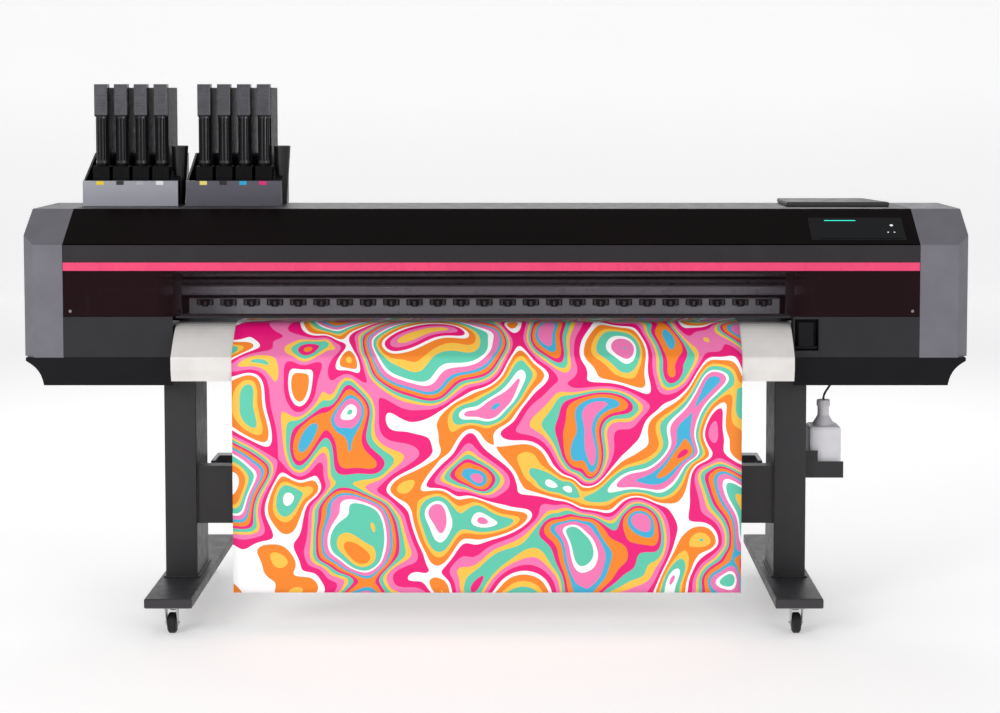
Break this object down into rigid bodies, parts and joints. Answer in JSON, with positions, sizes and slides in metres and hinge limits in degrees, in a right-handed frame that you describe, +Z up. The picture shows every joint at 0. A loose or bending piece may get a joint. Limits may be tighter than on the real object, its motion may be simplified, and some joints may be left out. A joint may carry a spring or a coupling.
{
  "type": "printer cutter",
  "caption": "Wide roll-fed printer cutter on a castered stand, with a hinged front window, ink packs on top and printed media hanging from the front.",
  "frame": {"origin": "on the floor, below the middle of the machine's overall width and depth", "axes": "+X to the right for someone facing the front, +Y towards the back, +Z up"},
  "size_m": [2.698, 0.885, 1.547],
  "materials": {
    "left_foot": "fine textured dark paint",
    "right_foot": "fine textured dark paint",
    "left_leg": "fine textured dark paint",
    "right_leg": "fine textured dark paint",
    "stand_crossbeam": "fine textured dark paint",
    "left_front_caster_fork": "zinc plated",
    "left_front_caster_wheel": "smooth rubber",
    "left_rear_caster_fork": "zinc plated",
    "left_rear_caster_wheel": "smooth rubber",
    "right_front_caster_fork": "zinc plated",
    "right_front_caster_wheel": "smooth rubber",
    "right_rear_caster_fork": "zinc plated",
    "right_rear_caster_wheel": "smooth rubber",
    "left_front_caster_brake": "moulded",
    "right_front_caster_brake": "moulded",
    "left_end_frame": "sheet",
    "right_end_frame": "sheet",
    "base_beam": "painted extrusion",
    "carriage_rail": "anodised",
    "left_side_cover": "fine grain",
    "right_side_cover": "fine grain",
    "top_cover": "fine grain",
    "top_service_lid": "fine grain",
    "left_skirt": "fine grain",
    "right_skirt": "fine grain",
    "left_service_cover": "fine grain",
    "right_service_cover": "fine grain",
    "lever_housing": "fine grain",
    "front_cover": "fine grain",
    "top_fascia": "polished black",
    "touch_panel": "polished black",
    "accent_strip": "glossy pink",
    "front_window": "tinted clear acrylic",
    "front_paper_guide": "white satin paint",
    "rear_paper_guide": "white satin paint",
    "platen": "machined",
    "feed_roller": "machined",
    "pressure_rollers": "ground rubber",
    "pressure_roller_bar": "pressed sheet",
    "media_lever": "fine grain",
    "print_carriage": "fine grain",
    "cutter_unit": "moulded",
    "printed_media": "printed vinyl",
    "media_roll": "white roll",
    "left_roll_holder": "moulded",
    "right_roll_holder": "moulded",
    "roll_rail": "extrusion",
    "left_ink_tray": "fine grain",
    "right_ink_tray": "fine grain",
    "ink_unit_1": "glossy black",
    "ink_unit_2": "glossy black",
    "ink_unit_3": "glossy black",
    "ink_unit_4": "glossy black",
    "ink_unit_5": "glossy black",
    "ink_unit_6": "glossy black",
    "ink_unit_7": "glossy black",
    "ink_unit_8": "glossy black",
    "waste_bottle": "translucent white",
    "waste_bottle_bracket": "dark paint",
    "waste_tube": "flexible tube"
  },
  "bodies": {
    "frame": {"left_foot": "left_foot", "right_foot": "right_foot", "left_leg": "left_leg", "right_leg": "right_leg", "stand_crossbeam": "stand_crossbeam", "left_end_frame": "left_end_frame", "right_end_frame": "right_end_frame", "base_beam": "base_beam", "carriage_rail": "carriage_rail", "left_side_cover": "left_side_cover", "right_side_cover": "right_side_cover", "top_cover": "top_cover", "top_service_lid": "top_service_lid", "left_skirt": "left_skirt", "right_skirt": "right_skirt", "lever_housing": "lever_housing", "top_fascia": "top_fascia", "touch_panel": "touch_panel", "front_paper_guide": "front_paper_guide", "rear_paper_guide": "rear_paper_guide", "platen": "platen", "printed_media": "printed_media", "roll_rail": "roll_rail", "left_ink_tray": "left_ink_tray", "right_ink_tray": "right_ink_tray", "waste_bottle_bracket": "waste_bottle_bracket", "waste_tube": "waste_tube"},
    "left_front_caster": {"left_front_caster_fork": "left_front_caster_fork"},
    "left_front_wheel": {"left_front_caster_wheel": "left_front_caster_wheel"},
    "left_front_brake": {"left_front_caster_brake": "left_front_caster_brake"},
    "left_rear_caster": {"left_rear_caster_fork": "left_rear_caster_fork"},
    "left_rear_wheel": {"left_rear_caster_wheel": "left_rear_caster_wheel"},
    "right_front_caster": {"right_front_caster_fork": "right_front_caster_fork"},
    "right_front_wheel": {"right_front_caster_wheel": "right_front_caster_wheel"},
    "right_front_brake": {"right_front_caster_brake": "right_front_caster_brake"},
    "right_rear_caster": {"right_rear_caster_fork": "right_rear_caster_fork"},
    "right_rear_wheel": {"right_rear_caster_wheel": "right_rear_caster_wheel"},
    "front_cover": {"front_cover": "front_cover", "accent_strip": "accent_strip", "front_window": "front_window"},
    "left_service_cover": {"left_service_cover": "left_service_cover"},
    "right_service_cover": {"right_service_cover": "right_service_cover"},
    "media_lever": {"media_lever": "media_lever"},
    "pressure_bar": {"pressure_roller_bar": "pressure_roller_bar"},
    "pressure_rollers": {"pressure_rollers": "pressure_rollers"},
    "feed_roller": {"feed_roller": "feed_roller"},
    "carriage": {"print_carriage": "print_carriage"},
    "cutter": {"cutter_unit": "cutter_unit"},
    "media_roll": {"media_roll": "media_roll"},
    "left_roll_holder": {"left_roll_holder": "left_roll_holder"},
    "right_roll_holder": {"right_roll_holder": "right_roll_holder"},
    "ink_unit_1": {"ink_unit_1": "ink_unit_1"},
    "ink_unit_2": {"ink_unit_2": "ink_unit_2"},
    "ink_unit_3": {"ink_unit_3": "ink_unit_3"},
    "ink_unit_4": {"ink_unit_4": "ink_unit_4"},
    "ink_unit_5": {"ink_unit_5": "ink_unit_5"},
    "ink_unit_6": {"ink_unit_6": "ink_unit_6"},
    "ink_unit_7": {"ink_unit_7": "ink_unit_7"},
    "ink_unit_8": {"ink_unit_8": "ink_unit_8"},
    "waste_bottle": {"waste_bottle": "waste_bottle"}
  },
  "joints": [
    {"name": "left_front_swivel", "type": "hinge", "parent": "frame", "child": "left_front_caster", "pos_m": [-0.912, -0.385, 0.06], "axis": [0, 0, 1], "continuous": true},
    {"name": "left_front_wheel_spin", "type": "hinge", "parent": "left_front_caster", "child": "left_front_wheel", "pos_m": [-0.912, -0.363, 0.029], "axis": [1, 0, 0], "continuous": true},
    {"name": "left_front_brake_pedal", "type": "hinge", "parent": "left_front_caster", "child": "left_front_brake", "pos_m": [-0.912, -0.351, 0.065], "axis": [-1, 0, 0], "range_deg": [0, 14]},
    {"name": "left_rear_swivel", "type": "hinge", "parent": "frame", "child": "left_rear_caster", "pos_m": [-0.912, 0.385, 0.06], "axis": [0, 0, 1], "continuous": true},
    {"name": "left_rear_wheel_spin", "type": "hinge", "parent": "left_rear_caster", "child": "left_rear_wheel", "pos_m": [-0.912, 0.407, 0.029], "axis": [1, 0, 0], "continuous": true},
    {"name": "right_front_swivel", "type": "hinge", "parent": "frame", "child": "right_front_caster", "pos_m": [0.848, -0.385, 0.06], "axis": [0, 0, 1], "continuous": true},
    {"name": "right_front_wheel_spin", "type": "hinge", "parent": "right_front_caster", "child": "right_front_wheel", "pos_m": [0.848, -0.363, 0.029], "axis": [1, 0, 0], "continuous": true},
    {"name": "right_front_brake_pedal", "type": "hinge", "parent": "right_front_caster", "child": "right_front_brake", "pos_m": [0.848, -0.351, 0.065], "axis": [-1, 0, 0], "range_deg": [0, 14]},
    {"name": "right_rear_swivel", "type": "hinge", "parent": "frame", "child": "right_rear_caster", "pos_m": [0.848, 0.385, 0.06], "axis": [0, 0, 1], "continuous": true},
    {"name": "right_rear_wheel_spin", "type": "hinge", "parent": "right_rear_caster", "child": "right_rear_wheel", "pos_m": [0.848, 0.407, 0.029], "axis": [1, 0, 0], "continuous": true},
    {"name": "front_cover_hinge", "type": "hinge", "parent": "frame", "child": "front_cover", "pos_m": [0, -0.2665, 1.091], "axis": [-1, 0, 0], "range_deg": [0, 95]},
    {"name": "left_service_cover_hinge", "type": "hinge", "parent": "frame", "child": "left_service_cover", "pos_m": [-1.07, -0.2665, 0.77], "axis": [1, 0, 0], "range_deg": [0, 75]},
    {"name": "right_service_cover_hinge", "type": "hinge", "parent": "frame", "child": "right_service_cover", "pos_m": [1.06, -0.2665, 0.77], "axis": [1, 0, 0], "range_deg": [0, 75]},
    {"name": "media_lever_hinge", "type": "hinge", "parent": "frame", "child": "media_lever", "pos_m": [0.8842, -0.257, 0.797], "axis": [1, 0, 0], "range_deg": [0, 30]},
    {"name": "pressure_bar_hinge", "type": "hinge", "parent": "frame", "child": "pressure_bar", "pos_m": [-0.036, -0.024, 0.909], "axis": [-1, 0, 0], "range_deg": [0, 6]},
    {"name": "pressure_rollers_spin", "type": "hinge", "parent": "pressure_bar", "child": "pressure_rollers", "pos_m": [-0.036, -0.06, 0.8766], "axis": [1, 0, 0], "continuous": true},
    {"name": "feed_roller_spin", "type": "hinge", "parent": "frame", "child": "feed_roller", "pos_m": [-0.036, -0.06, 0.8534], "axis": [1, 0, 0], "continuous": true},
    {"name": "carriage_slide", "type": "slide", "parent": "frame", "child": "carriage", "axis": [-1, 0, 0], "range_m": [0, 1.9]},
    {"name": "cutter_slide", "type": "slide", "parent": "carriage", "child": "cutter", "axis": [0, 0, -1], "range_m": [0, 0.01], "stiffness_N_per_m": 300, "springref_m": -0.006},
    {"name": "media_roll_spin", "type": "hinge", "parent": "frame", "child": "media_roll", "pos_m": [-0.024, 0.3265, 0.6], "axis": [1, 0, 0], "continuous": true},
    {"name": "left_roll_holder_slide", "type": "slide", "parent": "frame", "child": "left_roll_holder", "axis": [-1, 0, 0], "range_m": [0, 0.055]},
    {"name": "right_roll_holder_slide", "type": "slide", "parent": "frame", "child": "right_roll_holder", "axis": [1, 0, 0], "range_m": [0, 0.05]},
    {"name": "ink_unit_1_lift", "type": "slide", "parent": "frame", "child": "ink_unit_1", "axis": [0, 0, 1], "range_m": [0, 0.28]},
    {"name": "ink_unit_2_lift", "type": "slide", "parent": "frame", "child": "ink_unit_2", "axis": [0, 0, 1], "range_m": [0, 0.28]},
    {"name": "ink_unit_3_lift", "type": "slide", "parent": "frame", "child": "ink_unit_3", "axis": [0, 0, 1], "range_m": [0, 0.28]},
    {"name": "ink_unit_4_lift", "type": "slide", "parent": "frame", "child": "ink_unit_4", "axis": [0, 0, 1], "range_m": [0, 0.28]},
    {"name": "ink_unit_5_lift", "type": "slide", "parent": "frame", "child": "ink_unit_5", "axis": [0, 0, 1], "range_m": [0, 0.28]},
    {"name": "ink_unit_6_lift", "type": "slide", "parent": "frame", "child": "ink_unit_6", "axis": [0, 0, 1], "range_m": [0, 0.28]},
    {"name": "ink_unit_7_lift", "type": "slide", "parent": "frame", "child": "ink_unit_7", "axis": [0, 0, 1], "range_m": [0, 0.28]},
    {"name": "ink_unit_8_lift", "type": "slide", "parent": "frame", "child": "ink_unit_8", "axis": [0, 0, 1], "range_m": [0, 0.28]},
    {"name": "waste_bottle_slide", "type": "slide", "parent": "frame", "child": "waste_bottle", "axis": [1, 0, 0], "range_m": [0, 0.2]}
  ],
  "couplings": [
    {"joint": "pressure_bar_hinge", "follows": "media_lever_hinge", "ratio": 0.2},
    {"joint": "pressure_rollers_spin", "follows": "feed_roller_spin", "ratio": -1.3333}
  ]
}
